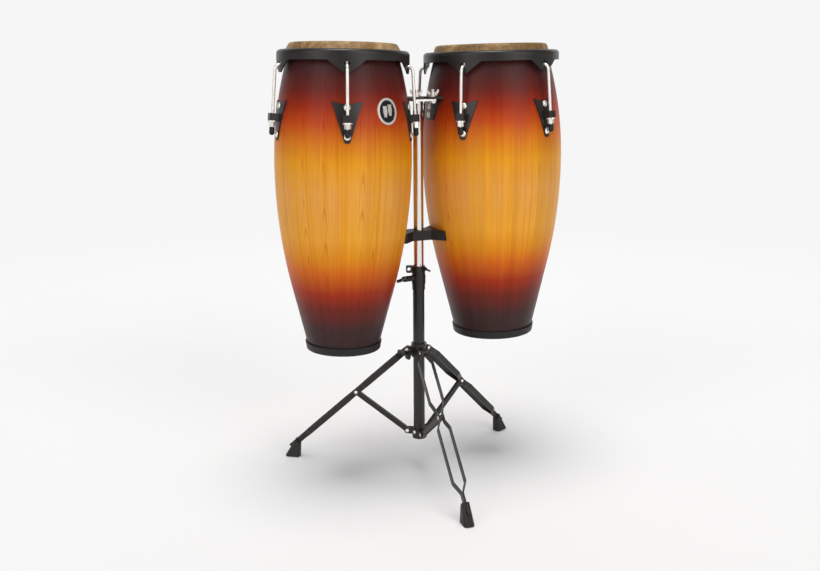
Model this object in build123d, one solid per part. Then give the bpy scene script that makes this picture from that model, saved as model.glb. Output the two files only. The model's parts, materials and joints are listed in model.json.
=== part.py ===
from build123d import *
from math import asin, atan2, cos, degrees, hypot, radians, sin, sqrt, tan
import os

# A pair of conga drums held by brackets on one height-adjustable double-braced tripod stand.
# Millimetres. +Z is up, +X runs from the small drum to the large one, the player stands at -Y.
# The origin is on the floor at the centre of the whole object's outline.

# ---------------------------------------------------------------- driving dimensions
stand_x = -10.8             # place of the stand's axis relative to the origin
stand_y = 71.6

# drums
drum_height = 712.5         # 28 inches from bottom ring to playing surface
drum_base_z = 344.4         # height of the bottom rings above the floor
drum_lean = 1.23            # degrees that each drum leans towards the stand
wall = 11.0                 # stave thickness
stave_count = 15
skin = 2.5                  # head thickness
lug_count = 5

# stand
foot_radius = 343.2         # stand axis to centre of a foot
leg_azimuths = {"left": 144.6, "front": 264.6, "right": 24.6}
hinge_radius = 30.0         # stand axis to both rows of leg pivots
hinge_z = 313.0             # leg hinges on the sliding collar
strut_pivot_z = 97.0        # strut pivots on the lower collar
leg_drop = 42.2             # degrees of the open legs below the horizontal
brace_reach = 182.5         # hinge to brace pivot along a leg
leg_end = 428.0             # hinge to the end of the strips inside the foot

base_tube_r = 14.3          # 1 1/8 inch tube
base_tube_wall = 1.25
upper_tube_r = 12.7         # 1 inch tube
upper_tube_wall = 1.6
run_gap = 0.05              # radial clearance of a running fit
part_gap = 0.3              # clearance between pieces that pass each other

plate_z = (926.0, 930.5)    # chrome cross plate on top of the upper tube
flange_z = (930.8, 935.8)   # drum brackets lying on the cross plate
stud_x = 21.0
stud_y = -39.0
stud_r = 4.0

clamp_z = (468.0, 484.0, 505.0)   # narrow skirt, shoulder and top of the height clamp
lock_z = (505.4, 527.5)           # memory lock
bumper_z = (593.5, 617.0)
leg_collar_z = (296.0, 331.0)
lower_collar_z = (80.0, 103.0)
set_screw_z = 98.0          # lower collar's set screw
clamp_bolt_azimuth = 188.0
lock_bolt_azimuth = 292.0
collar_bolt_azimuth = 204.6
lock_lug_azimuth = 165.0

rod_r = 3.5
rod_slope = tan(radians(4.0))     # tension rods run out from the rim as they go down


class Drum:
    """The sizes that differ between the two drums, and the outline they share."""

    def __init__(self, side, base_x, bottom_r, belly_r, belly_z, top_r, flank, rim_r, rim_in, twist):
        self.side = side              # -1 towards -X, +1 towards +X
        self.base_x = base_x          # stand axis to drum axis at the bottom
        self.bottom_r = bottom_r      # shell radius at the bottom
        self.belly_r = belly_r
        self.belly_z = belly_z
        self.top_r = top_r            # shell radius under the playing surface
        self.flank = radians(flank)   # slope of the straight lower flank
        self.rim_r = rim_r
        self.rim_in = rim_in
        self.twist = twist            # degrees that the lugs are turned from the bracket
        self.facing = 0.0 if side < 0 else 180.0
        swell = belly_r - bottom_r
        self.flank_arc = (tan(self.flank) * belly_z - swell) / (1 / cos(self.flank) - 1)
        rise, drop = drum_height - belly_z, belly_r - top_r
        self.shoulder_arc = (rise**2 + drop**2) / (2 * drop)
        self.place = Pos(side * base_x, 0, drum_base_z) * Rot(0, -side * drum_lean, 0)

    def radius(self, z):
        """Outside radius of the shell at a height above its bottom."""
        away = abs(z - self.belly_z)
        if z > self.belly_z:
            return self.belly_r - self.shoulder_arc + sqrt(self.shoulder_arc**2 - away**2)
        reach = self.flank_arc * sin(self.flank)
        if away < reach:
            return self.belly_r - self.flank_arc + sqrt(self.flank_arc**2 - away**2)
        return self.belly_r - self.flank_arc * (1 - cos(self.flank)) - (away - reach) * tan(self.flank)

    def slope(self, z):
        """Angle of the surface from the vertical at a height on the shoulder, in degrees."""
        return degrees(asin((z - self.belly_z) / self.shoulder_arc))

    def outline(self, shift, low, high):
        """The shell's side from low to high, moved out by shift: flank, flank arc, shoulder arc."""
        tangent_z = self.belly_z - self.flank_arc * sin(self.flank)
        heights = [low, tangent_z, (tangent_z + self.belly_z) / 2, self.belly_z]
        heights += [(self.belly_z + high) / 2, high]
        p = [(self.radius(z) + shift, z) for z in heights]
        return [Line(p[0], p[1]), ThreePointArc(p[1], p[2], p[3]), ThreePointArc(p[3], p[4], p[5])]

    def lug_azimuths(self):
        step = 360 / lug_count
        return [self.facing + self.twist + step * (k + 0.5) for k in range(lug_count)]


small = Drum(side=-1, base_x=198.8, bottom_r=83.5, belly_r=159.4, belly_z=448.0, top_r=118.0,
             flank=14.34, rim_r=151.0, rim_in=132.3, twist=2.0)
large = Drum(side=1, base_x=208.1, bottom_r=95.5, belly_r=170.9, belly_z=449.0, top_r=128.5,
             flank=13.52, rim_r=163.5, rim_in=139.8, twist=3.5)


# ---------------------------------------------------------------- shared helpers
def turned(points):
    """Solid of revolution about Z of a closed (radius, z) polygon."""
    face = make_face(Polyline(*points, close=True))
    return revolve(Plane.XZ * face, Axis.Z)


def turned_edges(edges):
    """Solid of revolution about Z of a closed chain of (radius, z) edges."""
    return revolve(Plane.XZ * make_face(edges), Axis.Z)


def ring(inner, outer, low, high):
    return Pos(0, 0, low) * extrude(Circle(outer) - Circle(inner), high - low)


def column(radius, low, high):
    return Pos(0, 0, low) * extrude(Circle(radius), high - low)


def radial_plane(azimuth, radius=0.0, z=0.0, tilt=0.0):
    """Sketch plane facing outwards at an azimuth: x is sideways, y is up, tilt raises its normal."""
    a, t = radians(azimuth), radians(tilt)
    origin = (radius * cos(a), radius * sin(a), z)
    return Plane(origin, x_dir=(-sin(a), cos(a), 0), z_dir=(cos(a) * cos(t), sin(a) * cos(t), sin(t)))


def side_plane(azimuth):
    """Plane through the stand's axis at an azimuth: x is outwards, y is up."""
    a = radians(azimuth)
    return Plane((0, 0, 0), x_dir=(cos(a), sin(a), 0), z_dir=(sin(a), -cos(a), 0))


def rod_between(start, end, radius):
    """Round bar between two points."""
    path = Line(start, end)
    return sweep(Plane(path @ 0, z_dir=path % 0) * Circle(radius), path)


def dome(radius, height):
    """Low dome on the XY plane."""
    sphere_r = (radius**2 + height**2) / (2 * height)
    ball = Pos(0, 0, height - sphere_r) * Sphere(sphere_r)
    return ball & Pos(0, 0, height / 2) * Cylinder(radius * 1.01, height)


def hexagon(across_flats, height, bore_r):
    """Nut standing on the XY plane."""
    return extrude(RegularPolygon(across_flats / sqrt(3), 6) - Circle(bore_r), height)


def save(name, shape):
    """Write one sub-part, moved from the stand's axis to the object's frame."""
    moved = Pos(stand_x, stand_y, 0) * Compound(children=list(shape.solids()))
    export_step(moved, f"parts/{name}.step")


def group(shapes):
    return Compound(children=[solid for shape in shapes for solid in shape.solids()])


# ---------------------------------------------------------------- drum pieces, in the drum's own frame
ring_height = 19.0          # rubber bottom ring
ring_floor = 4.0            # rubber under the shell's edge
rim_drop = 16.0             # playing surface down to the rim's top
rim_bottom = 39.5           # ... to the lower edge of its band
rim_steel = 3.0
hook_drop = 50.0            # ... to the hook holes
ear_half_width = 42.0
ear_tip = 66.5
flesh_drop = 23.3           # ... to the flesh hoop's centre
flesh_r = 4.0
plate_top = 126.5           # ... to the side plates' upper corners
plate_tip = 215.5
plate_steel = 2.8
plate_half_width = 33.4
block_drop = 163.5          # ... to the middle of the lug blocks
block_half = 8.0
washer_steel = 3.0          # under the block
rod_end = 26.0              # block's underside down to the rod's end
cap_end = 32.5              # ... to the rounded end of its rubber cap
cap_length = 18.0
cap_r = 6.0
screw_drops = (139.5, 201.5)
screw_r = 3.0
screw_head_r = 7.5
bracket_steel = 3.0
bracket_low_z = 885.0
bracket_top_half = 42.0
bracket_low_half = 21.0
flange_half = 50.0
mount_bolt_z = (897.0, 916.0)
badge_drop = 147.5
badge_azimuth = -72.0


def fastener_planes(drum):
    """Outward planes on the shell's surface at every screw of the side plates."""
    planes = []
    for azimuth in drum.lug_azimuths():
        for drop in screw_drops:
            z = drum_height - drop
            planes.append(radial_plane(azimuth, drum.radius(z), z, drum.slope(z)))
    return planes


def mount_planes(drum):
    """Outward planes on the shell's surface at the two bolts of the bracket."""
    heights = [z - drum_base_z for z in mount_bolt_z]
    return [radial_plane(drum.facing, drum.radius(z), z, drum.slope(z)) for z in heights]


def stave_shell(drum):
    """Glued staves, turned inside and outside, with every joint clear of the bolt holes."""
    low, high = ring_floor, drum_height - skin
    outer = drum.outline(0, low, high)
    inner = drum.outline(-wall, low, high)
    top = Line(outer[-1] @ 1, inner[-1] @ 1)
    bottom = Line(outer[0] @ 0, inner[0] @ 0)
    section = make_face(outer + inner + [top, bottom])
    section = Plane.XZ * fillet(section.vertices().group_by(Axis.Y)[-1], 3.0)
    turn = 360 / stave_count
    stave = revolve(section, Axis.Z, turn)
    first_joint = drum.facing + (drum.twist + turn / 2) / 2
    bores = [plane * Cylinder(screw_r + 0.2, 60) for plane in fastener_planes(drum) + mount_planes(drum)]
    staves = []
    for k in range(stave_count):
        piece = Rot(0, 0, first_joint + k * turn) * stave
        for bore in bores:
            if bore.distance_to(piece) < part_gap:
                piece -= bore
        staves.append(piece)
    return group(staves)


def bottom_ring(drum):
    """Rubber ring with an L section: under the shell's edge and up round its outside."""
    low_r, top_r = drum.radius(ring_floor), drum.radius(ring_height)
    return turned([
        (drum.bottom_r - 7, 0), (drum.bottom_r + 4, 0), (drum.bottom_r + 5.5, 1.5),
        (top_r + 3.5, ring_height - 1.5), (top_r + 2.5, ring_height), (top_r, ring_height),
        (low_r, ring_floor), (low_r - wall, ring_floor), (drum.bottom_r - 8, 1.5),
    ])


def flesh_centre(drum):
    """Radius and height of the steel flesh hoop that the skin is tucked round."""
    return drum.rim_in + 4.7, drum_height - flesh_drop


def head(drum):
    """Rawhide skin: flat top, rounded shoulder, skirt, and a tuck under the flesh hoop."""
    top, bend_r = drum_height, 9.0
    bend = (drum.top_r - 1.4, top - bend_r)
    hoop_r, hoop_z = flesh_centre(drum)
    wrap = flesh_r + skin
    skirt_r = drum.rim_in - 1.2

    def shoulder(radius):
        """Points at 0, 32 and 65 degrees round the bend over the bearing edge."""
        turns = [radians(t) for t in (0, 32, 65)]
        return [(bend[0] + radius * sin(t), bend[1] + radius * cos(t)) for t in turns]

    over, under = shoulder(bend_r), shoulder(bend_r - skin)
    outside = [
        Line((0, top), over[0]),
        ThreePointArc(*over),
        Line(over[2], (skirt_r, top - rim_drop)),
        Line((skirt_r, top - rim_drop), (hoop_r - flesh_r, hoop_z)),
        ThreePointArc((hoop_r - flesh_r, hoop_z), (hoop_r, hoop_z - flesh_r), (hoop_r + flesh_r, hoop_z)),
    ]
    trim = Line((hoop_r + flesh_r, hoop_z), (hoop_r + wrap, hoop_z))
    inside = [
        ThreePointArc((hoop_r + wrap, hoop_z), (hoop_r, hoop_z - wrap), (hoop_r - wrap, hoop_z)),
        Line((hoop_r - wrap, hoop_z), (skirt_r - skin, top - rim_drop)),
        Line((skirt_r - skin, top - rim_drop), under[2]),
        ThreePointArc(*reversed(under)),
        Line(under[0], (0, top - skin)),
    ]
    return turned_edges(outside + [trim] + inside + [Line((0, top - skin), (0, top))])


def flesh_hoop(drum):
    hoop_r, hoop_z = flesh_centre(drum)
    return Pos(0, 0, hoop_z) * Torus(hoop_r, flesh_r)


def rim(drum):
    """Tension hoop with a rounded top edge and five pointed ears, each with a hook hole."""
    top, curve = drum_height - rim_drop, 9.0
    out, low = drum.rim_r, drum_height - rim_bottom
    inner_curve = curve - rim_steel
    bend = sqrt(0.5)
    centre = (out - curve, top - curve)
    band = turned_edges([
        Line((drum.rim_in, top), (centre[0], top)),
        ThreePointArc((centre[0], top), (centre[0] + curve * bend, centre[1] + curve * bend), (out, centre[1])),
        Line((out, centre[1]), (out, low)),
        Line((out, low), (out - rim_steel, low)),
        Line((out - rim_steel, low), (out - rim_steel, centre[1])),
        ThreePointArc((out - rim_steel, centre[1]),
                      (centre[0] + inner_curve * bend, centre[1] + inner_curve * bend),
                      (centre[0], top - rim_steel)),
        Line((centre[0], top - rim_steel), (drum.rim_in, top - rim_steel)),
        Line((drum.rim_in, top - rim_steel), (drum.rim_in, top)),
    ])
    skirt = ring(out - rim_steel, out, drum_height - ear_tip, low)
    corners = [(-ear_half_width, 0), (ear_half_width, 0), (ear_half_width - 1, -1), (6.5, rim_bottom - ear_tip),
               (-6.5, rim_bottom - ear_tip), (1 - ear_half_width, -1)]
    ear = Pos(0, low) * make_face(Polyline(*corners, close=True))
    ear = fillet(ear.vertices().group_by(Axis.Y)[0], 5.0)
    hole = Pos(0, drum_height - hook_drop + 2.2) * Circle(rod_r + 3.0)
    for azimuth in drum.lug_azimuths():
        band += skirt & extrude(radial_plane(azimuth) * (ear - hole), 2 * out)
    return band


def rod_point(drum, drop):
    """Radius and height on the straight part of a tension rod, by its drop below the playing surface."""
    return drum.rim_r + 9.5 + (drop - hook_drop) * rod_slope, drum_height - drop


def rod_plane(drum, azimuth):
    """Plane across a tension rod at the middle of its lug block; z points up the rod."""
    a = radians(azimuth)
    radius, z = rod_point(drum, block_drop)
    lean = radians(4.0)
    up = (-sin(lean) * cos(a), -sin(lean) * sin(a), cos(lean))
    return Plane((radius * cos(a), radius * sin(a), z), x_dir=(-sin(a), cos(a), 0), z_dir=up)


def tension_rod(drum, azimuth):
    """Hooked rod: up behind the ear, out through its hole, then down to the lug block."""
    hook_z, inside = drum_height - hook_drop, drum.rim_r - 9.5
    points = [(inside, hook_z + 8), (inside, hook_z), rod_point(drum, hook_drop)]
    points.append(rod_point(drum, block_drop + block_half + rod_end))
    path = side_plane(azimuth) * FilletPolyline(*points, radius=[4.5, 13.0])
    return sweep(Plane(path @ 0, z_dir=path % 0) * Circle(rod_r), path)


def on_rod(drum, azimuth, shape):
    return rod_plane(drum, azimuth) * shape


def side_plate(drum, azimuth, layer, body):
    """Pointed steel plate on the shell with the block that holds one tension rod."""
    top, tip = drum_height - plate_top, drum_height - plate_tip
    corners = [(-plate_half_width, top), (-9, top - 5.5), (9, top - 5.5), (plate_half_width, top),
               (5.5, tip), (-5.5, tip)]
    shape = make_face(Polyline(*corners, close=True))
    shape = fillet(shape.vertices().group_by(Axis.Y)[0], 4.0)
    plate = layer & extrude(radial_plane(azimuth) * shape, 300)
    reach = rod_point(drum, block_drop)[0] - drum.radius(drum_height - block_drop)
    block = Box(21, reach + 14, 2 * block_half)
    block = fillet(block.edges().filter_by(Axis.Z), 3.0)
    block = on_rod(drum, azimuth, Pos(0, (reach + 14) / 2 - 8.5, 0) * block) - body
    plate += block
    plate -= on_rod(drum, azimuth, Cylinder(rod_r + 0.4, 80))
    for drop in screw_drops:
        z = drum_height - drop
        plate -= radial_plane(azimuth, drum.radius(z), z, drum.slope(z)) * Cylinder(screw_r + 0.2, 30)
    return plate


def dome_bolt(seat, length):
    """Dome-headed bolt whose head sits at a distance from the shell's surface."""
    return Pos(0, 0, seat) * dome(screw_head_r, 4.0) + Pos(0, 0, seat - length / 2) * Cylinder(screw_r, length)


def inner_nut():
    """Washer and nut inside the shell."""
    stack = Pos(0, 0, -wall - 2.3) * extrude(Circle(7) - Circle(screw_r), 1.5)
    return stack + Pos(0, 0, -wall - 7.3) * hexagon(10, 5.0, screw_r)


def badge(drum):
    """Plain oval badge: raised rim round a flat field."""
    z = drum_height - badge_drop
    plane = radial_plane(badge_azimuth + drum.twist, 0, z)
    outline = Ellipse(27, 29)
    field = extrude(plane * outline, 300) & turned_layer(drum, 0.0, 1.2)
    border = extrude(plane * (outline - Ellipse(22.5, 24.5)), 300) & turned_layer(drum, 0.6, 2.6)
    return field + border


def turned_layer(drum, inner, outer):
    """Thin skin over the whole shell between two distances from its surface."""
    low, high = ring_height + 1, drum_height - rim_bottom
    near, far = drum.outline(inner, low, high), drum.outline(outer, low, high)
    ends = [Line(near[0] @ 0, far[0] @ 0), Line(near[-1] @ 1, far[-1] @ 1)]
    return turned_edges(near + far + ends)


def solid_body(drum):
    """The shell's outside as one filled solid, for trimming what lies against it."""
    side = drum.outline(0, 0, drum_height)
    foot, top = side[0] @ 0, side[-1] @ 1
    return turned_edges(side + [Line((0, 0), foot), Line((0, 0), (0, top.Y)), Line((0, top.Y), top)])


def mount_bracket(drum, body):
    """Tapered plate bolted to the shell, with a level slotted flange that lies on the cross plate."""
    high, low = flange_z[1] - drum_base_z - 1, bracket_low_z - drum_base_z
    corners = [(-bracket_top_half, high), (bracket_top_half, high), (bracket_low_half, low), (-bracket_low_half, low)]
    shape = make_face(Polyline(*corners, close=True))
    shape = fillet(shape.vertices().group_by(Axis.Y)[0], 6.0)
    plate = turned_layer(drum, 0, bracket_steel) & extrude(radial_plane(drum.facing) * shape, 300)
    for plane in mount_planes(drum):
        plate -= plane * Cylinder(screw_r + 0.2, 30)
    length = 52.0
    flange = Rectangle(length, 2 * flange_half)
    flange = fillet(flange.vertices().group_by(Axis.X)[-1], 7.0)
    flange = Pos(length / 2, 0) * Rot(0, 0, 180) * flange
    slot_end = stud_x - 1.0
    for y in (stud_y, -stud_y):
        flange -= Pos(slot_end, y) * Circle(stud_r + 0.6)
        flange -= Pos(slot_end / 2 - 2, y) * Rectangle(slot_end + 4, 2 * stud_r + 1.2)
    flange = Pos(1.0, 0, flange_z[0]) * extrude(flange, flange_z[1] - flange_z[0])
    if drum.side < 0:
        flange = Rot(0, 0, 180) * flange
    return drum.place * plate + (flange - drum.place * body)


def build_drum(drum, name):
    """Write every piece of one drum."""
    body = solid_body(drum)
    layer = turned_layer(drum, 0, plate_steel)
    lugs = drum.lug_azimuths()
    seat = plate_steel
    washer = Pos(0, 0, -block_half - washer_steel) * extrude(Circle(10.5) - Circle(rod_r), washer_steel)
    nut = Pos(0, 0, -block_half - washer_steel - 10) * hexagon(13, 10, rod_r)
    cap = Pos(0, 0, -block_half - cap_end) * extrude(Circle(cap_r), cap_length)
    cap = fillet(cap.edges().group_by(Axis.Z)[0], cap_r - 0.6)
    cap -= Pos(0, 0, -block_half - rod_end - 0.5) * extrude(Circle(rod_r + 0.2), rod_end)
    pieces = {
        "shell": stave_shell(drum),
        "bottom_ring": bottom_ring(drum),
        "head": head(drum),
        "flesh_hoop": flesh_hoop(drum),
        "rim": rim(drum),
        "tension_rods": group([tension_rod(drum, a) for a in lugs]),
        "side_plates": group([side_plate(drum, a, layer, body) for a in lugs]),
        "tension_washers": group([on_rod(drum, a, washer) for a in lugs]),
        "tuning_nuts": group([on_rod(drum, a, nut) for a in lugs]),
        "rod_caps": group([on_rod(drum, a, cap) for a in lugs]),
        "plate_screws": group([p * dome_bolt(seat, 24) for p in fastener_planes(drum)]),
        "shell_nuts": group([p * inner_nut() for p in fastener_planes(drum) + mount_planes(drum)]),
        "mount_bolts": group([p * dome_bolt(bracket_steel, 24) for p in mount_planes(drum)]),
    }
    for piece, shape in pieces.items():
        save(f"{name}_{piece}", drum.place * shape)
    save(f"{name}_mount_bracket", mount_bracket(drum, body))
    if drum.side < 0:
        save(f"{name}_badge", drum.place * badge(drum))


# ---------------------------------------------------------------- stand pieces, about the stand's axis
def base_tube():
    return ring(base_tube_r - base_tube_wall, base_tube_r, lower_collar_z[0] + 4, clamp_z[1])


def tube_plug():
    """Plastic plug in the lower end of the base tube."""
    low = lower_collar_z[0] + 4
    return column(base_tube_r, low - 3, low) + column(base_tube_r - base_tube_wall, low, low + 15)


def upper_tube():
    return ring(upper_tube_r - upper_tube_wall, upper_tube_r, 200, plate_z[0])


def boss(azimuth, z, radius, start, end):
    """Round boss standing out from a collar."""
    return radial_plane(azimuth, start, z) * extrude(Circle(radius), end - start)


def bolt_hole(azimuth, z, radius):
    return radial_plane(azimuth, 5, z) * extrude(Circle(radius), 40)


bush_r = 15.0
housing_r = 17.2            # outside of the height clamp round its bush
lock_ring_r = 16.2
clamp_bolt_z = 498.0
lock_bolt_z = 522.5
collar_bolt_z = 312.0
bolt_r = 4.0
lock_bolt_r = 3.0


def height_clamp():
    """Cast clamp on top of the base tube: skirt, housing round the bush, lip, and bolt boss."""
    low, shoulder, top = clamp_z
    lip = top - 1.7
    body = ring(base_tube_r, housing_r - 1.2, low, shoulder)
    body += ring(bush_r + run_gap, housing_r, shoulder, lip)
    body += ring(upper_tube_r + 0.4, housing_r, lip, top)
    body += boss(clamp_bolt_azimuth, clamp_bolt_z, 7.0, bush_r, 25) - column(housing_r - 0.1, low, top)
    return body - bolt_hole(clamp_bolt_azimuth, clamp_bolt_z, bolt_r + run_gap)


def clamp_bush():
    """Nylon bush that the upper tube slides and turns in."""
    return ring(upper_tube_r + run_gap, bush_r, clamp_z[1] + part_gap, clamp_z[2] - 1.7 - part_gap)


def memory_lock():
    """Clamp ring on the upper tube that keeps its set height, with a hinge lug and a bolt boss."""
    low, high = lock_z
    body = ring(upper_tube_r, lock_ring_r, low, high)
    middle = high - 7.5
    inside = column(lock_ring_r - 0.1, low - 5, high + 5)
    lug = Pos(22, middle) * Box(18, 18, 9)
    lug = fillet(lug.edges().filter_by(Axis.Z), 3.0) - Pos(24, middle) * Cylinder(4.5, 40)
    body += side_plane(lock_lug_azimuth) * lug - inside
    body += boss(lock_bolt_azimuth, lock_bolt_z, 5.0, 14, 17) - inside
    return body - bolt_hole(lock_bolt_azimuth, lock_bolt_z, lock_bolt_r + run_gap)


def wing_bolt(azimuth, z, tip, shank_r, hub_start, size, roll):
    """Bolt with a two-lobed handle, pointing outwards from the stand's axis."""
    hub_end = hub_start + 16 * size
    shank = radial_plane(azimuth, tip, z) * extrude(Circle(shank_r), hub_end - tip)
    hub = radial_plane(azimuth, hub_start, z) * extrude(Circle(7.5 * size), hub_end - hub_start)
    lobe = [(0, 5), (6.0, 8.5), (19.0, 21), (25.0, 20), (27.5, 14), (23.0, 6), (20.0, 0)]
    points = [(x * size, y * size) for x, y in lobe] + [(x * size, -y * size) for x, y in reversed(lobe)]
    corners = list(dict.fromkeys(points))
    wing = extrude(make_face(Polyline(*corners, close=True)), 3.2 * size, both=True)
    wing = fillet(wing.edges().filter_by(Axis.Z), 1.2 * size)
    frame = side_plane(azimuth) * Pos(0, z) * Rot(roll, 0, 0) * Pos(hub_start + 2 * size, 0, 0) * Rot(90, 0, 0)
    return shank + hub + frame * wing


def cross_plate():
    """Chrome plate welded on the upper tube, with two stud holes near its front edge."""
    front, back, half = -46.0, 14.0, 30.0
    sheet = Pos(0, (front + back) / 2) * RectangleRounded(2 * half, back - front, 4)
    for x in (-stud_x, stud_x):
        sheet -= Pos(x, stud_y) * Circle(stud_r)
    return Pos(0, 0, plate_z[0]) * extrude(sheet, plate_z[1] - plate_z[0])


def stud(x):
    """Bolt standing up through the cross plate, its head welded underneath."""
    shank = Pos(x, stud_y, plate_z[0]) * extrude(Circle(stud_r), 27)
    head_height = 5.0
    return shank + Pos(x, stud_y, plate_z[0] - head_height) * extrude(RegularPolygon(7.5, 6), head_height)


def wing_nut(x):
    """Chrome wing nut holding one drum's bracket down on the cross plate."""
    hub = extrude(Circle(7), 7) + Pos(0, 0, 7) * extrude(Circle(5.8), 3)
    lobe = [(4.5, 1.5), (9, 3), (14.6, 11), (14.6, 16.5), (11.4, 17), (8.4, 11), (4.5, 9)]
    wing = extrude(Plane.XZ * make_face(Polyline(*lobe, close=True)), 1.5, both=True)
    wing = fillet(wing.edges().filter_by(Axis.Y), 1.0)
    nut = hub + wing + Rot(0, 0, 180) * wing
    nut -= Cylinder(stud_r + run_gap, 60)
    return Pos(x, stud_y, flange_z[1] + 0.2) * Rot(0, 0, -23) * nut


def bumper():
    """Moulded block round the upper tube with a hollow on each side for a drum's shell."""
    low, high = bumper_z
    outline = [(-57.5, -44), (-50, -47), (-24, -21), (24, -21), (50, -47), (57.5, -44),
               (57.5, 44), (50, 47), (24, 21), (-24, 21), (-50, 47), (-57.5, 44)]
    block = Pos(0, 0, low) * extrude(make_face(Polyline(*outline, close=True)), high - low)
    block = fillet(block.edges().filter_by(Axis.Z), 3.0)
    for drum in (small, large):
        block -= drum.place * turned_shell_clearance(drum)
    block -= column(upper_tube_r, low, high)
    for x in (-17, 17):
        block -= Pos(x, 6, (low + high) / 2) * Rot(90, 0, 0) * Cylinder(2.5, 30)
    return block


def turned_shell_clearance(drum):
    """The shell's outside grown by the gap that the bumper keeps from it."""
    gap = 0.6
    side = drum.outline(gap, 20, drum_height - 60)
    foot, top = side[0] @ 0, side[-1] @ 1
    axis = [Line((0, foot.Y), foot), Line((0, foot.Y), (0, top.Y)), Line((0, top.Y), top)]
    return turned_edges(side + axis)


def bumper_screw(x):
    """Pan-head screw in the bumper's waist, put in from behind."""
    z = sum(bumper_z) / 2
    return Pos(x, 21, z) * Rot(-90, 0, 0) * dome(5, 3) + Pos(x, 6, z) * Rot(90, 0, 0) * Cylinder(2.5, 30)


def knuckle(azimuth, z, half, start, side_offset=0.0, radius=7.5):
    """Flat ear in a leg's plane, rounded about its pivot."""
    ear = Circle(radius) + Pos((start - hinge_radius) / 2, 0) * Rectangle(hinge_radius - start, 2 * radius)
    ear = Pos(hinge_radius, z) * ear
    return side_plane(azimuth) * Pos(0, 0, side_offset) * extrude(ear, half, both=True)


ear_half = 5.0              # half thickness of the leg hinge ears
pivot_r = 3.0
strut_half = 4.0            # half thickness of a strut
strip = 2.5                 # leg strip thickness
strip_depth = 15.0
clevis_steel = 3.0


def leg_collar():
    """Sliding collar with one ear for each leg and a boss for its wing bolt."""
    low, high = leg_collar_z
    body = ring(base_tube_r + run_gap, 17.5, low, high) + ring(base_tube_r + run_gap, 19.5, high - 9, high)
    body += ring(base_tube_r + run_gap, 19.0, low, low + 7)
    for azimuth in leg_azimuths.values():
        body += knuckle(azimuth, hinge_z, ear_half, 15)
        body -= pivot(azimuth, hinge_z, pivot_r + run_gap, 40)
    body += boss(collar_bolt_azimuth, collar_bolt_z, 8.5, 15, 27)
    return body - bolt_hole(collar_bolt_azimuth, collar_bolt_z, bolt_r + run_gap)


def pivot(azimuth, z, radius, half):
    """Round bar across a leg's plane at its pivot radius."""
    return side_plane(azimuth) * Pos(hinge_radius, z) * Cylinder(radius, 2 * half)


def lower_collar():
    """Fixed collar at the foot of the base tube with a pair of ears for each strut."""
    low, high = lower_collar_z
    body = ring(base_tube_r, 17.5, low, high)
    offset = strut_half + 0.5 + clevis_steel / 2
    for azimuth in leg_azimuths.values():
        for side in (-offset, offset):
            body += knuckle(azimuth, strut_pivot_z, clevis_steel / 2, 14.5, side) - column(base_tube_r, low, high + 5)
        body -= pivot(azimuth, strut_pivot_z, pivot_r, 20)
    return body - radial_plane(collar_bolt_azimuth, 10, set_screw_z) * extrude(Circle(3), 20)


def rivet(plane_at, half):
    """Rivet across a leg's plane with a low head at each end."""
    bar = Cylinder(pivot_r, 2 * half)
    bar += Pos(0, 0, half) * dome(4.7, 2.0) + Pos(0, 0, -half) * Rot(180, 0, 0) * dome(4.7, 2.0)
    return plane_at * bar


def lower_collar_screw():
    """Set screw that fixes the lower collar on the base tube."""
    screw = radial_plane(collar_bolt_azimuth, base_tube_r, set_screw_z) * extrude(Circle(3), 4.5)
    return screw + radial_plane(collar_bolt_azimuth, base_tube_r + 4.5, set_screw_z) * dome(4.5, 2.5)


def leg_plane(azimuth):
    """Plane of one leg with its origin at the hinge: x runs down the leg, z is sideways."""
    return side_plane(azimuth) * Pos(hinge_radius, hinge_z) * Rot(0, 0, -leg_drop)


def strip_path():
    """Half of a leg seen from above its plane: pinched at hinge, brace pivot and foot, bowed between."""
    near_hinge = ear_half + part_gap + strip / 2
    near_brace = strut_half + 0.5 + strip / 2
    at_foot = strip / 2 + 0.1
    return [(-strip_depth / 2, near_hinge), (9, near_hinge), (30, 17.5), (142, 17.5), (172, near_brace),
            (193, near_brace), (212, 15), (350, 15), (377, at_foot), (leg_end, at_foot)]


def leg_strip(azimuth, side):
    """One bent flat strip of a leg."""
    points = [(x, 0, side * y) for x, y in strip_path()]
    path = FilletPolyline(*points, radius=9)
    bar = sweep(Plane(path @ 0, x_dir=(0, 1, 0), z_dir=path % 0) * Rectangle(strip_depth, strip), path)
    round_end = Cylinder(strip_depth / 2, 60) + Pos(250, 0, 0) * Box(500, 40, 60)
    bar = bar & round_end
    for x in (0, brace_reach):
        bar -= Pos(x, 0, 0) * Cylinder(pivot_r, 80)
    return leg_plane(azimuth) * bar


def leg_rivets(azimuth):
    """Hinge rivet, and the two rivet ends at the brace pivot."""
    plane = leg_plane(azimuth)
    inner, outer = strut_half + 0.5, strut_half + 0.5 + strip
    stub = Pos(brace_reach, 0, (inner + outer) / 2) * Cylinder(pivot_r, outer - inner)
    stub += Pos(brace_reach, 0, outer) * dome(4.7, 2.0)
    hinge = rivet(plane, ear_half + part_gap + strip)
    return group([hinge, plane * stub, plane * mirror(stub, Plane.XY)])


def foot(azimuth, strips):
    """Rubber boot: level sole, tapering up to the leg, with a socket for the strips."""
    sole = side_plane(azimuth) * Pos(foot_radius, 0, 0) * Rot(-90, 0, 0) * RectangleRounded(40, 26, 8)
    mouth = leg_plane(azimuth) * Pos(401, 0, 0) * Rot(0, 90, 0) * RectangleRounded(19, 18, 5)
    shape = loft([sole.faces()[0], mouth.faces()[0]], ruled=True)
    shape = fillet(shape.edges().group_by(Axis.Z)[0], 3.0)
    return shape - strips


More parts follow.
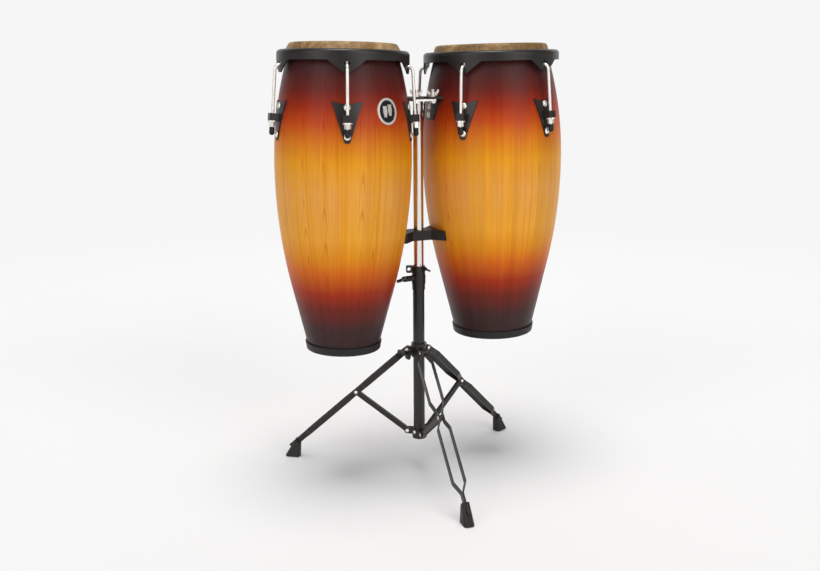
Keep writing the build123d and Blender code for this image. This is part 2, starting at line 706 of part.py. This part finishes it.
def strut(azimuth):
    """Channel-section brace from the lower collar to the leg."""
    angle = radians(leg_drop)
    end_r = hinge_radius + brace_reach * cos(angle)
    end_z = hinge_z - brace_reach * sin(angle)
    rise, run = end_z - strut_pivot_z, end_r - hinge_radius
    length = hypot(rise, run)
    depth = 13.0
    bar = SlotCenterToCenter(length, depth)
    bar = extrude(bar, strut_half, both=True)
    bar -= Pos(0, -2.5, 0) * Box(length - 30, depth, 2 * (strut_half - 1.6))
    bar -= Pos(-length / 2, 0, 0) * Cylinder(pivot_r + run_gap, 40)
    bar -= Pos(length / 2, 0, 0) * Cylinder(pivot_r + 0.4, 40)
    frame = side_plane(azimuth) * Pos(hinge_radius, strut_pivot_z) * Rot(0, 0, degrees(atan2(rise, run)))
    return frame * Pos(length / 2, 0, 0) * bar


def build_leg(name, azimuth):
    strips = group([leg_strip(azimuth, side) for side in (-1, 1)])
    save(f"leg_{name}_strips", strips)
    save(f"leg_{name}_rivets", leg_rivets(azimuth))
    save(f"leg_{name}_foot", foot(azimuth, strips))
    save(f"strut_{name}", strut(azimuth))


def build_stand():
    save("base_tube", base_tube())
    save("tube_plug", tube_plug())
    save("upper_tube", upper_tube())
    save("height_clamp", height_clamp())
    save("clamp_bush", clamp_bush())
    save("clamp_wing_bolt", wing_bolt(clamp_bolt_azimuth, clamp_bolt_z, bush_r + part_gap, bolt_r, 27, 0.95, 26))
    save("memory_lock", memory_lock())
    lock_tip = upper_tube_r + part_gap
    save("memory_lock_wing_bolt", wing_bolt(lock_bolt_azimuth, lock_bolt_z, lock_tip, lock_bolt_r, 17.4, 0.55, -34))
    save("cross_plate", cross_plate())
    save("cross_plate_studs", group([stud(-stud_x), stud(stud_x)]))
    save("wing_nut_small", wing_nut(-stud_x))
    save("wing_nut_large", wing_nut(stud_x))
    save("bumper", bumper())
    save("bumper_screws", group([bumper_screw(-17), bumper_screw(17)]))
    save("leg_collar", leg_collar())
    save("collar_wing_bolt",
         wing_bolt(collar_bolt_azimuth, collar_bolt_z, base_tube_r + part_gap, bolt_r, 32, 1.0, -17))
    save("lower_collar", lower_collar())
    clevis_half = strut_half + 0.5 + clevis_steel
    planes = [side_plane(a) * Pos(hinge_radius, strut_pivot_z) for a in leg_azimuths.values()]
    save("lower_collar_rivets", group([rivet(plane, clevis_half) for plane in planes]))
    save("lower_collar_screw", lower_collar_screw())


os.makedirs("parts", exist_ok=True)
build_drum(small, "small")
build_drum(large, "large")
build_stand()
for leg_name, leg_azimuth in leg_azimuths.items():
    build_leg(leg_name, leg_azimuth)
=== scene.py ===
import json
import math
import bpy
import bmesh
from mathutils import Matrix, Vector
from mathutils.bvhtree import BVHTree


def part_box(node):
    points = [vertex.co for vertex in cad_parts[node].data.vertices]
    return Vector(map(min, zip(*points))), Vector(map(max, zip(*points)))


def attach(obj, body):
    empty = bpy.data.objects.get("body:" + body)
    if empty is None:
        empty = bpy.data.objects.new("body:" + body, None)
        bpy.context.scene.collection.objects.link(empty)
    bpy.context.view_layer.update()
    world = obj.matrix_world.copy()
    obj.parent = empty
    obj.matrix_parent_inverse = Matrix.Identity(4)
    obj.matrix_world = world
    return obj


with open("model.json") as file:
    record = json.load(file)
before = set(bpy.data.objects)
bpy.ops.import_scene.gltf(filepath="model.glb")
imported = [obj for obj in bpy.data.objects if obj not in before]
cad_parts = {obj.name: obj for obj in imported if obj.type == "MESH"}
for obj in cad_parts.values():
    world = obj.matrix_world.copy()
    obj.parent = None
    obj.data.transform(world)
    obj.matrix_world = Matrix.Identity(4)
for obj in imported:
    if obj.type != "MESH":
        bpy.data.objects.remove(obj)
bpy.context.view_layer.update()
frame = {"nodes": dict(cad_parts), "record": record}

nodes = frame["nodes"]

# ---------------------------------------------------------------- the frame's own measures
stand_axis = (Vector(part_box("base_tube")[0]) + Vector(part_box("base_tube")[1])) / 2
lean = math.radians(1.23)        # each drum leans this much towards the stand


def drum_frame(name, side):
    """Matrix from a drum's own frame, base at the origin and axis up, to the row frame."""
    low, high = (Vector(c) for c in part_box(f"{name}_bottom_ring"))
    radius = (high.y - low.y) / 2
    base_z = low.z + radius * math.sin(lean)
    base_x = (low.x + high.x) / 2
    return Matrix.Translation((base_x, stand_axis.y, base_z)) @ Matrix.Rotation(-side * lean, 4, "Y")


drum_frames = {"small": drum_frame("small", -1), "large": drum_frame("large", 1)}


# ---------------------------------------------------------------- camera, lights and floor
camera_heading = math.radians(-23.0)      # solved, like the rest of the camera, from the photograph
camera_pitch = math.radians(90 - 12.61)
camera_roll = -0.0065
camera_place = Vector((stand_axis.x - 0.9018, stand_axis.y - 2.070, 0.9827))
lens_mm, sensor_mm = 41.05, 36.0
floor_reach, clip_end = 45.0, 100.0


def link(name, data):
    """A new object with this data, linked into the scene."""
    made = bpy.data.objects.new(name, data)
    bpy.context.scene.collection.objects.link(made)
    return made


def add_camera():
    """The photograph's view: just under the drum heads' height, from the small drum's side."""
    data = bpy.data.cameras.new("camera")
    data.lens = lens_mm
    data.sensor_width = sensor_mm
    data.clip_end = clip_end
    camera = link("camera", data)
    rotation = (Matrix.Rotation(camera_heading, 4, "Z") @ Matrix.Rotation(camera_pitch, 4, "X")
                @ Matrix.Rotation(camera_roll, 4, "Z"))
    camera.matrix_world = Matrix.Translation(camera_place) @ rotation
    bpy.context.scene.camera = camera


def sun_light(name, azimuth, elevation, spread, strength):
    """Even light from a direction; spread is its apparent size in degrees, which softens its shadows."""
    data = bpy.data.lights.new(name, "SUN")
    data.angle = math.radians(spread)
    data.energy = strength
    light = link(name, data)
    a, e = math.radians(azimuth), math.radians(elevation)
    towards = Vector((math.cos(e) * math.cos(a), math.cos(e) * math.sin(a), math.sin(e)))
    light.rotation_euler = towards.to_track_quat("Z", "Y").to_euler()


def add_lights():
    """An even sky, two soft lights overhead, and one on either side of the camera."""
    world = bpy.data.worlds.new("studio")
    bpy.context.scene.world = world
    world.use_nodes = True
    sky = world.node_tree.nodes["Background"].inputs
    sky["Color"].default_value = (1.0, 1.0, 1.0, 1.0)
    sky["Strength"].default_value = 0.18
    sun_light("key", azimuth=247.0, elevation=86.0, spread=32.0, strength=2.15)
    sun_light("overhead", azimuth=247.0, elevation=80.0, spread=60.0, strength=0.2)
    sun_light("fill_left", azimuth=208.0, elevation=20.0, spread=40.0, strength=0.85)
    sun_light("fill_right", azimuth=286.0, elevation=20.0, spread=40.0, strength=1.1)
    bpy.context.scene.view_settings.view_transform = "Standard"


def add_sweep():
    """White floor that reaches far to the sides and behind the camera, and bends up into a wall ahead."""
    mesh = bpy.data.meshes.new("sweep")
    wall, bend, half_width, height = 9.0, 3.0, 12.0, 9.0
    narrowing = 0.1               # length over which the floor narrows to the wall's width
    steps = 24
    # each row: distance ahead, height, half width
    rows = [(-floor_reach, 0.0, floor_reach), (wall - bend - narrowing, 0.0, floor_reach),
            (wall - bend, 0.0, half_width)]
    for k in range(1, steps + 1):
        a = math.pi / 2 * k / steps
        rows.append((wall - bend + bend * math.sin(a), bend - bend * math.cos(a), half_width))
    rows.append((wall, height, half_width))
    heading = Matrix.Rotation(camera_heading, 4, "Z")
    points = [heading @ Vector((side * half, y, z)) for y, z, half in rows for side in (-1, 1)]
    faces = [(2 * k, 2 * k + 1, 2 * k + 3, 2 * k + 2) for k in range(len(rows) - 1)]
    mesh.from_pydata(points, [], faces)
    for polygon in mesh.polygons:
        polygon.use_smooth = True
    sweep = link("sweep", mesh)
    mesh.materials.append(floor_material())


# ---------------------------------------------------------------- materials
class Shader:
    """A material being built: most calls add one node and return its output socket."""

    def __init__(self, name):
        self.material = bpy.data.materials.new(name)
        self.material.use_nodes = True
        self.tree = self.material.node_tree
        self.surface = self.tree.nodes["Principled BSDF"]

    def set(self, **values):
        """Constants on the surface's sockets, named with _ for a space."""
        for name, value in values.items():
            self.surface.inputs[name.replace("_", " ")].default_value = value

    def node(self, kind, *links, **settings):
        made = self.tree.nodes.new(kind)
        for name, value in settings.items():
            setattr(made, name, value)
        for socket, value in links:
            self.join(value, made.inputs[socket])
        return made

    def join(self, value, socket):
        if isinstance(value, bpy.types.NodeSocket):
            self.tree.links.new(value, socket)
        else:
            socket.default_value = value

    def join_colour(self, value, socket):
        self.join(value if isinstance(value, bpy.types.NodeSocket) else (*value, 1.0), socket)

    def coordinates(self):
        return self.node("ShaderNodeTexCoord").outputs["Object"]

    def scaled(self, vector, scale):
        return self.node("ShaderNodeMapping", ("Vector", vector), ("Scale", scale)).outputs[0]

    def noise(self, vector, scale=1.0, detail=3.0, roughness=0.5, distortion=0.0):
        made = self.node("ShaderNodeTexNoise", ("Vector", vector), ("Scale", scale), ("Detail", detail),
                         ("Roughness", roughness), ("Distortion", distortion))
        return made.outputs["Fac"]

    def math(self, operation, a, b=0.0, c=0.0):
        return self.node("ShaderNodeMath", (0, a), (1, b), (2, c), operation=operation).outputs[0]

    def remap(self, value, low, high, to_low, to_high):
        return self.node("ShaderNodeMapRange", ("Value", value), ("From Min", low), ("From Max", high),
                         ("To Min", to_low), ("To Max", to_high)).outputs[0]

    def ramp(self, value, stops):
        made = self.node("ShaderNodeValToRGB", ("Fac", value))
        ramp = made.color_ramp
        while len(ramp.elements) < len(stops):
            ramp.elements.new(1.0)
        for element, (position, colour) in zip(ramp.elements, stops):
            element.position = position
            element.color = (*colour, 1.0)
        return made.outputs["Color"]

    def mix(self, factor, a, b, blend="MIX"):
        made = self.node("ShaderNodeMix", data_type="RGBA", blend_type=blend)
        self.join(factor, made.inputs["Factor"])
        for name, value in (("A", a), ("B", b)):
            socket = [s for s in made.inputs if s.name == name and s.type == "RGBA"][0]
            self.join_colour(value, socket)
        return [s for s in made.outputs if s.type == "RGBA"][0]

    def bump(self, height, strength, distance):
        made = self.node("ShaderNodeBump", ("Height", height), ("Strength", strength),
                         ("Distance", distance))
        self.join(made.outputs[0], self.surface.inputs["Normal"])

    def colour(self, value):
        self.join_colour(value, self.surface.inputs["Base Color"])

    def roughness(self, value):
        self.join(value, self.surface.inputs["Roughness"])


def srgb(red, green, blue):
    """Linear colour of a display colour given as 0 to 255."""
    return tuple(((c / 255 + 0.055) / 1.055) ** 2.4 if c > 10 else c / 255 / 12.92
                 for c in (red, green, blue))


def floor_material():
    """White paper: it takes the light near the object, and glows evenly where it runs out of sight."""
    paper_ends, glow_begins = 1.8, 4.0        # distances from the origin
    shader = Shader("floor_white")
    place = shader.coordinates()
    grain = shader.noise(place, scale=900.0, detail=2.0)
    away = shader.node("ShaderNodeVectorMath", (0, place), operation="LENGTH").outputs["Value"]
    far = shader.remap(away, paper_ends, glow_begins, 0.0, 1.0)
    paper = shader.mix(grain, (0.755, 0.755, 0.755), (0.775, 0.775, 0.775))
    shader.colour(shader.mix(far, paper, (0.0, 0.0, 0.0)))
    glow = shader.mix(far, (0.0, 0.0, 0.0), srgb(246, 246, 246))
    shader.join(glow, shader.surface.inputs["Emission Color"])
    shader.set(Roughness=1.0, Specular_IOR_Level=0.0, Emission_Strength=1.0)
    return shader.material


# lacquer colour of a shell by height above its bottom, in metres
burst_stops = [
    (0.0000, (47, 36, 37)), (0.0650, (59, 36, 36)), (0.1160, (103, 33, 25)), (0.1550, (151, 44, 10)),
    (0.2050, (198, 98, 14)), (0.2400, (211, 134, 18)), (0.2850, (221, 155, 48)), (0.3800, (219, 154, 65)),
    (0.4510, (217, 147, 24)), (0.4960, (203, 114, 17)), (0.5370, (180, 68, 12)), (0.5730, (144, 39, 6)),
    (0.6070, (102, 29, 21)), (0.6520, (72, 36, 36)), (0.7125, (48, 26, 28)),
]
shell_top = burst_stops[-1][0]
stave_count = 15
stave_turn = 2 * math.pi / stave_count
stave_width = 0.0586              # at the belly
first_joint = {"small": math.radians(7.0), "large": math.radians(187.75)}    # where a glue joint lies
plank_spread = 7.0                # metres between the planks that the staves are sawn from
centre_spread = 1.6               # stave widths over which the middles of the arches vary
ring_curve = 15000.0              # growth rings per square metre away from a stave's middle
rings_along = 11.0                # growth rings per metre along a stave
ring_waver = 3.2                  # growth rings that the noise adds
burst_shift = 0.018               # how far the bands' edges wander up and down


def sunburst_wood(name, drum):
    """Lacquered ash staves: black ends fading through red to amber, raw wood inside."""
    shader = Shader(name)
    inverse = drum_frames[drum].inverted()
    local = shader.node("ShaderNodeMapping", ("Vector", shader.coordinates()),
                        ("Location", inverse.to_translation()), ("Rotation", inverse.to_euler())).outputs[0]
    x, y, z = shader.node("ShaderNodeSeparateXYZ", ("Vector", local)).outputs

    # which stave, and how far across it from its middle, in stave widths
    turn = shader.math("SUBTRACT", shader.math("ARCTAN2", y, x), first_joint[drum])
    turn = shader.math("DIVIDE", turn, stave_turn)
    stave = shader.math("FLOORED_MODULO", shader.math("FLOOR", turn), stave_count)
    across = shader.math("SUBTRACT", shader.math("FRACT", turn), 0.5)
    tone = shader.node("ShaderNodeTexWhiteNoise", ("W", stave), noise_dimensions="1D").outputs["Value"]

    # place in the plank that the stave was sawn from: its grain runs along the stave
    plank = shader.math("MULTIPLY", tone, plank_spread)
    grown = shader.node("ShaderNodeCombineXYZ", ("X", shader.math("MULTIPLY", across, stave_width)),
                        ("Y", plank), ("Z", z)).outputs[0]

    # growth rings cut by the stave's face: nested arches about a centre that differs from stave to stave
    centre = shader.math("MULTIPLY", shader.math("SUBTRACT", tone, 0.5), centre_spread)
    aside = shader.math("MULTIPLY", shader.math("SUBTRACT", across, centre), stave_width)
    waver = shader.noise(shader.scaled(grown, (22, 22, 3)), detail=1.5)
    rings = shader.math("MULTIPLY", shader.math("MULTIPLY", aside, aside), ring_curve)
    rings = shader.math("ADD", rings, shader.math("MULTIPLY", z, rings_along))
    rings = shader.math("ADD", rings, shader.math("MULTIPLY", waver, ring_waver))
    rings = shader.math("SINE", shader.math("MULTIPLY", rings, 2 * math.pi))
    patch = shader.noise(shader.scaled(grown, (18, 18, 6)), detail=2.0)
    late_wood = shader.math("MULTIPLY", shader.remap(rings, 0.55, 1.0, 0.0, 1.0),
                            shader.remap(patch, 0.36, 0.56, 0.0, 1.0))

    band = shader.noise(shader.scaled(grown, (52, 52, 1.3)), distortion=0.4)
    streak = shader.noise(shader.scaled(grown, (190, 190, 1.5)), roughness=0.6)
    pores = shader.noise(shader.scaled(grown, (800, 800, 20)), detail=2.0, roughness=0.6)

    # lacquer colour by height, then warmer and cooler bands, fine streaks and late wood over it
    shift = shader.math("MULTIPLY", shader.math("SUBTRACT", band, 0.5), burst_shift)
    height = shader.math("DIVIDE", shader.math("ADD", z, shift), shell_top)
    burst = shader.ramp(height, [(h / shell_top, srgb(*c)) for h, c in burst_stops])
    warm = shader.ramp(band, [(0.36, (1.03, 0.99, 0.62)), (0.50, (1, 1, 1)), (0.64, (1.02, 0.98, 1.22))])
    fine = shader.ramp(streak, [(0.30, (0.90, 0.76, 0.58)), (0.50, (1, 1, 1)), (0.70, (1.06, 1.10, 1.12))])
    toned = shader.mix(0.9, shader.mix(0.9, burst, warm, "MULTIPLY"), fine, "MULTIPLY")
    toned = shader.mix(shader.math("MULTIPLY", late_wood, 0.72), toned,
                       shader.mix(1.0, toned, (0.80, 0.56, 0.34), "MULTIPLY"))

    # each stave a little lighter or darker, its glued edges and its pores darker
    level = shader.remap(tone, 0.0, 1.0, 0.95, 1.08)
    edge = shader.math("ABSOLUTE", across)
    level = shader.math("MULTIPLY", level, shader.remap(edge, 0.490, 0.4985, 1.0, 0.90))
    level = shader.math("MULTIPLY", level, shader.remap(pores, 0.30, 0.50, 0.93, 1.0))
    grey = shader.node("ShaderNodeCombineColor", (0, level), (1, level), (2, level)).outputs[0]
    toned = shader.mix(1.0, toned, grey, "MULTIPLY")
    raw = shader.ramp(streak, [(0.3, srgb(150, 108, 66)), (0.7, srgb(205, 165, 112))])

    # faces that look towards the drum's axis are the unfinished inside
    radial = shader.node("ShaderNodeCombineXYZ", ("X", x), ("Y", y)).outputs[0]
    radial = shader.node("ShaderNodeVectorMath", (0, radial), operation="NORMALIZE").outputs[0]
    normal = shader.node("ShaderNodeNewGeometry").outputs["Normal"]
    facing = shader.node("ShaderNodeVectorMath", (0, radial), (1, normal), operation="DOT_PRODUCT")
    inside = shader.math("LESS_THAN", facing.outputs["Value"], -0.3)
    shader.colour(shader.mix(inside, toned, raw))
    satin = shader.remap(streak, 0.3, 0.7, 0.36, 0.44)
    shader.roughness(shader.math("ADD", satin, shader.math("MULTIPLY", inside, 0.3)))
    shader.set(Specular_IOR_Level=0.16)
    shader.bump(shader.math("ADD", streak, shader.math("MULTIPLY", pores, 0.5)), 0.04, 0.0005)
    return shader.material


def rawhide():
    """Natural skin: mottled tan with darker veins and a slightly rough surface."""
    shader = Shader("rawhide")
    place = shader.coordinates()
    cloud = shader.noise(place, scale=14.0, detail=5.0, roughness=0.62, distortion=0.8)
    mottle = shader.noise(place, scale=150.0, detail=4.0, roughness=0.65, distortion=0.4)
    veins = shader.noise(shader.scaled(place, (38, 90, 60)), detail=4.0, roughness=0.7, distortion=1.6)
    base = shader.ramp(cloud, [(0.32, srgb(98, 70, 36)), (0.50, srgb(140, 108, 66)),
                               (0.70, srgb(184, 156, 112))])
    spots = shader.ramp(mottle, [(0.34, (0.52, 0.46, 0.38)), (0.50, (1, 1, 1)), (0.75, (1.16, 1.12, 1.05))])
    lines = shader.ramp(veins, [(0.40, (0.72, 0.64, 0.52)), (0.47, (1, 1, 1))])
    shader.colour(shader.mix(0.8, shader.mix(0.8, base, spots, "MULTIPLY"), lines, "MULTIPLY"))
    shader.roughness(shader.remap(mottle, 0.3, 0.7, 0.45, 0.65))
    shader.set(Specular_IOR_Level=0.35)
    shader.bump(shader.math("ADD", mottle, shader.math("MULTIPLY", cloud, 0.8)), 0.25, 0.0008)
    return shader.material


def powder_coat():
    """Satin black coat with the faint orange peel and dust of powder paint."""
    shader = Shader("black_steel")
    place = shader.coordinates()
    peel = shader.noise(place, scale=520.0, detail=2.0)
    cloud = shader.noise(place, scale=30.0, roughness=0.55)
    shader.colour(shader.mix(cloud, (0.0125, 0.0105, 0.0088), (0.0200, 0.0175, 0.0150)))
    shader.roughness(shader.remap(cloud, 0.3, 0.7, 0.32, 0.40))
    shader.set(Specular_IOR_Level=0.38)
    shader.bump(peel, 0.08, 0.0004)
    return shader.material


def plated(name, tint, low, high, metallic=1.0):
    """Plated metal, polished or satin by its range of roughness."""
    shader = Shader(name)
    place = shader.coordinates()
    haze = shader.noise(place, scale=60.0, detail=4.0, roughness=0.6)
    wear = shader.noise(shader.scaled(place, (700, 700, 60)), detail=2.0, roughness=0.6)
    dark = tuple(c * 0.9 for c in tint)
    shader.colour(shader.mix(haze, dark, tint))
    shader.roughness(shader.remap(wear, 0.3, 0.7, low, high))
    shader.set(Metallic=metallic)
    shader.bump(haze, 0.03, 0.0004)
    return shader.material


def moulded(name, colour, rough, grain, ribs=None):
    """Moulded rubber or plastic with a fine matt texture; ribs is (sideways direction, pitch)."""
    shader = Shader(name)
    place = shader.coordinates()
    texture = shader.noise(place, scale=grain, roughness=0.6)
    dust = shader.noise(place, scale=45.0, detail=4.0, roughness=0.6)
    dusty = tuple(c * 1.6 + 0.003 for c in colour)
    shader.colour(shader.mix(dust, colour, dusty))
    shader.roughness(shader.remap(texture, 0.3, 0.7, rough - 0.06, rough + 0.08))
    shader.set(Specular_IOR_Level=0.35)
    if ribs:
        sideways, pitch = ribs
        along = shader.node("ShaderNodeVectorMath", (0, place), (1, sideways), operation="DOT_PRODUCT")
        wave = shader.math("SINE", shader.math("MULTIPLY", along.outputs["Value"], 2 * math.pi / pitch))
        texture = shader.math("ADD", shader.math("MULTIPLY", texture, 0.2), wave)
        shader.bump(texture, 0.7, 0.0012)
    else:
        shader.bump(texture, 0.15, 0.0004)
    return shader.material


# Two copies of one black rubber: rubber is darkened as painted shade, for the drums' bottom rings and every
# other black_rubber piece; the boots' copy is brighter.
rubber = (0.0055, 0.0046, 0.0042)
boot_rubber = (0.0105, 0.0092, 0.0083)
rib_pitch = 0.0055
rubber_rough, rubber_grain = 0.5, 700.0
# nodes with these endings are satin nickel, whatever their slot
satin_endings = ("screws", "bolts", "rivets", "washers", "tuning_nuts", "studs", "screw", "plate", "rods",
                 "badge")


def assign(material, name):
    mesh = nodes[name].data
    mesh.materials.clear()
    mesh.materials.append(material)
    for polygon in mesh.polygons:
        polygon.material_index = 0


def dress_frame():
    """A finished material on every CAD piece, chosen by its material slot and its name."""
    finishes = {
        "rawhide": rawhide(),
        "black_steel": powder_coat(),
        "chrome": plated("chrome", (0.88, 0.88, 0.88), 0.07, 0.14),
        "satin_nickel": plated("satin_nickel", (0.92, 0.87, 0.82), 0.28, 0.40, 0.7),
        "zinc_steel": plated("zinc_steel", (0.86, 0.84, 0.81), 0.26, 0.38, 0.75),
        "black_rubber": moulded("black_rubber", rubber, rubber_rough, rubber_grain),
        "black_nylon": moulded("black_nylon", (0.02, 0.02, 0.021), 0.42, 500.0),
    }
    for entry in frame["record"]["subparts"]:
        if entry["material_slot"] != "sunburst_wood":
            assign(finishes[entry["material_slot"]], entry["node"])
    for node in nodes:
        if node.endswith(satin_endings) or node.startswith("wing_nut"):
            assign(finishes["satin_nickel"], node)
    for drum in ("small", "large"):
        assign(sunburst_wood(f"sunburst_{drum}", drum), f"{drum}_shell")
    for leg in ("left", "front", "right"):
        boot = f"leg_{leg}_foot"
        low, high = (Vector(c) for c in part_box(boot))
        outwards = (low + high) / 2 - stand_axis
        sideways = Vector((-outwards.y, outwards.x, 0)).normalized()
        ribs = (sideways, rib_pitch)
        assign(moulded(f"boot_{leg}", boot_rubber, rubber_rough, rubber_grain, ribs), boot)


# ---------------------------------------------------------------- badge
badge_width, badge_height = 0.0225, 0.0245    # half sizes of the field inside the border
field_edge = 0.97                 # square of the part of the field that the enamel covers
motif_lift = 0.0007
ray_start = 0.02                  # distance in front of the badge that the rays start from
# right half of a drum's outline, from its foot up: sideways and up from its middle
half_outline = [(0.0030, -0.0115), (0.0058, 0.0), (0.0046, 0.0095), (0.0058, 0.0095), (0.0058, 0.0125)]
motif_places = ((-0.0068, -0.001), (0.0068, 0.002))    # each drum's middle on the field


def badge_directions():
    """Centre of the badge, and its outward and sideways directions."""
    low, high = (Vector(c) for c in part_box("small_badge"))
    centre = (low + high) / 2
    outwards = centre - drum_frames["small"].translation
    outwards = Vector((outwards.x, outwards.y, 0)).normalized()
    return centre, outwards, Vector((-outwards.y, outwards.x, 0))


def enamel_badge():
    """Black enamel on the badge's field; its raised border stays bright."""
    centre, _, sideways = badge_directions()
    mesh = nodes["small_badge"].data
    mesh.materials.append(moulded("black_enamel", (0.008, 0.008, 0.008), 0.25, 300.0))
    for polygon in mesh.polygons:
        away = polygon.center - centre
        u, v = away.dot(sideways) / badge_width, away.z / badge_height
        if u * u + v * v < field_edge:
            polygon.material_index = 1


def add_badge_motif():
    """Two small drum outlines, raised in bright metal on the badge's field."""
    centre, outwards, sideways = badge_directions()
    badge = nodes["small_badge"].data
    corners = [vertex.co.copy() for vertex in badge.vertices]
    tree = BVHTree.FromPolygons(corners, [polygon.vertices[:] for polygon in badge.polygons])
    outline = half_outline + [(-u, v) for u, v in reversed(half_outline)]
    count = len(outline)
    shape = bmesh.new()
    for middle, rise in motif_places:
        rows = []
        for lift in (0.0, motif_lift):
            row = []
            for u, v in outline:
                start = centre + sideways * (middle + u) + Vector((0, 0, v + rise)) + outwards * ray_start
                hit = tree.ray_cast(start, -outwards)[0]
                row.append(shape.verts.new(hit + outwards * lift))
            rows.append(row)
        shape.faces.new(rows[1])
        shape.faces.new(reversed(rows[0]))
        for k in range(count):
            following = (k + 1) % count
            shape.faces.new((rows[0][k], rows[0][following], rows[1][following], rows[1][k]))
    bmesh.ops.recalc_face_normals(shape, faces=shape.faces)
    mesh = bpy.data.meshes.new("badge_motif")
    shape.to_mesh(mesh)
    shape.free()
    motif = link("badge_motif", mesh)
    mesh.materials.append(bpy.data.materials["satin_nickel"])
    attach(motif, "small_drum")


add_camera()
add_lights()
add_sweep()
dress_frame()
enamel_badge()
add_badge_motif()
